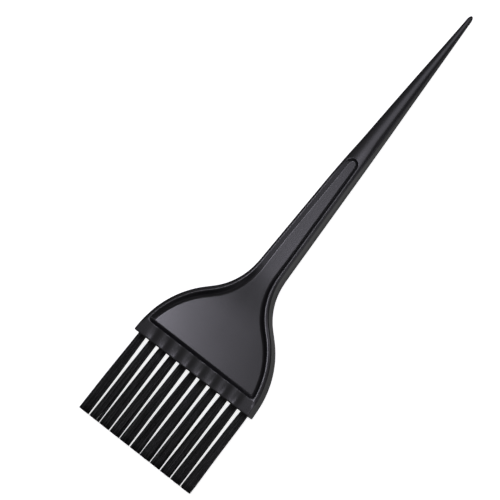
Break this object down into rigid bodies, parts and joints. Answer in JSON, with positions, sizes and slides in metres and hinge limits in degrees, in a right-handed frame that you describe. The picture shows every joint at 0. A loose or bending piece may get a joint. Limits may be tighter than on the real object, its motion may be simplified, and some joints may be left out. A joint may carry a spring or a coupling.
{
  "type": "hair tint brush",
  "caption": "Hair tint brush: one-piece plastic handle with a pointed tail and a flared head that holds one row of flexing bristle tufts.",
  "frame": {"origin": "under the middle of the whole brush, on the plane that the flat back of its head lies on", "axes": "+X across the head, +Y along the handle to the tail's tip, +Z out of the recessed front"},
  "size_m": [0.0604, 0.22, 0.0078],
  "materials": {
    "moulded_plastic": "satin",
    "bristle_nylon": "satin filament",
    "anchor_wire": "drawn flat wire"
  },
  "bodies": {
    "handle_body": {"handle": "moulded_plastic", "anchor_01": "anchor_wire", "anchor_02": "anchor_wire", "anchor_03": "anchor_wire", "anchor_04": "anchor_wire", "anchor_05": "anchor_wire", "anchor_06": "anchor_wire", "anchor_07": "anchor_wire", "anchor_08": "anchor_wire", "anchor_09": "anchor_wire", "anchor_10": "anchor_wire", "anchor_11": "anchor_wire", "tuft_root_01": "bristle_nylon", "tuft_root_02": "bristle_nylon", "tuft_root_03": "bristle_nylon", "tuft_root_04": "bristle_nylon", "tuft_root_05": "bristle_nylon", "tuft_root_06": "bristle_nylon", "tuft_root_07": "bristle_nylon", "tuft_root_08": "bristle_nylon", "tuft_root_09": "bristle_nylon", "tuft_root_10": "bristle_nylon", "tuft_root_11": "bristle_nylon"},
    "bristles_01": {"tuft_01": "bristle_nylon"},
    "bristles_02": {"tuft_02": "bristle_nylon"},
    "bristles_03": {"tuft_03": "bristle_nylon"},
    "bristles_04": {"tuft_04": "bristle_nylon"},
    "bristles_05": {"tuft_05": "bristle_nylon"},
    "bristles_06": {"tuft_06": "bristle_nylon"},
    "bristles_07": {"tuft_07": "bristle_nylon"},
    "bristles_08": {"tuft_08": "bristle_nylon"},
    "bristles_09": {"tuft_09": "bristle_nylon"},
    "bristles_10": {"tuft_10": "bristle_nylon"},
    "bristles_11": {"tuft_11": "bristle_nylon"}
  },
  "joints": [
    {"name": "tuft_01_flex", "type": "hinge", "parent": "handle_body", "child": "bristles_01", "pos_m": [-0.02695, -0.0738, 0.0032], "axis": [1, 0, 0], "range_deg": [-45, 45], "stiffness_Nm_per_rad": 0.004},
    {"name": "tuft_02_flex", "type": "hinge", "parent": "handle_body", "child": "bristles_02", "pos_m": [-0.02156, -0.0738, 0.0032], "axis": [1, 0, 0], "range_deg": [-45, 45], "stiffness_Nm_per_rad": 0.004},
    {"name": "tuft_03_flex", "type": "hinge", "parent": "handle_body", "child": "bristles_03", "pos_m": [-0.01617, -0.0738, 0.0032], "axis": [1, 0, 0], "range_deg": [-45, 45], "stiffness_Nm_per_rad": 0.004},
    {"name": "tuft_04_flex", "type": "hinge", "parent": "handle_body", "child": "bristles_04", "pos_m": [-0.01078, -0.0738, 0.0032], "axis": [1, 0, 0], "range_deg": [-45, 45], "stiffness_Nm_per_rad": 0.004},
    {"name": "tuft_05_flex", "type": "hinge", "parent": "handle_body", "child": "bristles_05", "pos_m": [-0.00539, -0.0738, 0.0032], "axis": [1, 0, 0], "range_deg": [-45, 45], "stiffness_Nm_per_rad": 0.004},
    {"name": "tuft_06_flex", "type": "hinge", "parent": "handle_body", "child": "bristles_06", "pos_m": [0, -0.0738, 0.0032], "axis": [1, 0, 0], "range_deg": [-45, 45], "stiffness_Nm_per_rad": 0.004},
    {"name": "tuft_07_flex", "type": "hinge", "parent": "handle_body", "child": "bristles_07", "pos_m": [0.00539, -0.0738, 0.0032], "axis": [1, 0, 0], "range_deg": [-45, 45], "stiffness_Nm_per_rad": 0.004},
    {"name": "tuft_08_flex", "type": "hinge", "parent": "handle_body", "child": "bristles_08", "pos_m": [0.01078, -0.0738, 0.0032], "axis": [1, 0, 0], "range_deg": [-45, 45], "stiffness_Nm_per_rad": 0.004},
    {"name": "tuft_09_flex", "type": "hinge", "parent": "handle_body", "child": "bristles_09", "pos_m": [0.01617, -0.0738, 0.0032], "axis": [1, 0, 0], "range_deg": [-45, 45], "stiffness_Nm_per_rad": 0.004},
    {"name": "tuft_10_flex", "type": "hinge", "parent": "handle_body", "child": "bristles_10", "pos_m": [0.02156, -0.0738, 0.0032], "axis": [1, 0, 0], "range_deg": [-45, 45], "stiffness_Nm_per_rad": 0.004},
    {"name": "tuft_11_flex", "type": "hinge", "parent": "handle_body", "child": "bristles_11", "pos_m": [0.02695, -0.0738, 0.0032], "axis": [1, 0, 0], "range_deg": [-45, 45], "stiffness_Nm_per_rad": 0.004}
  ]
}
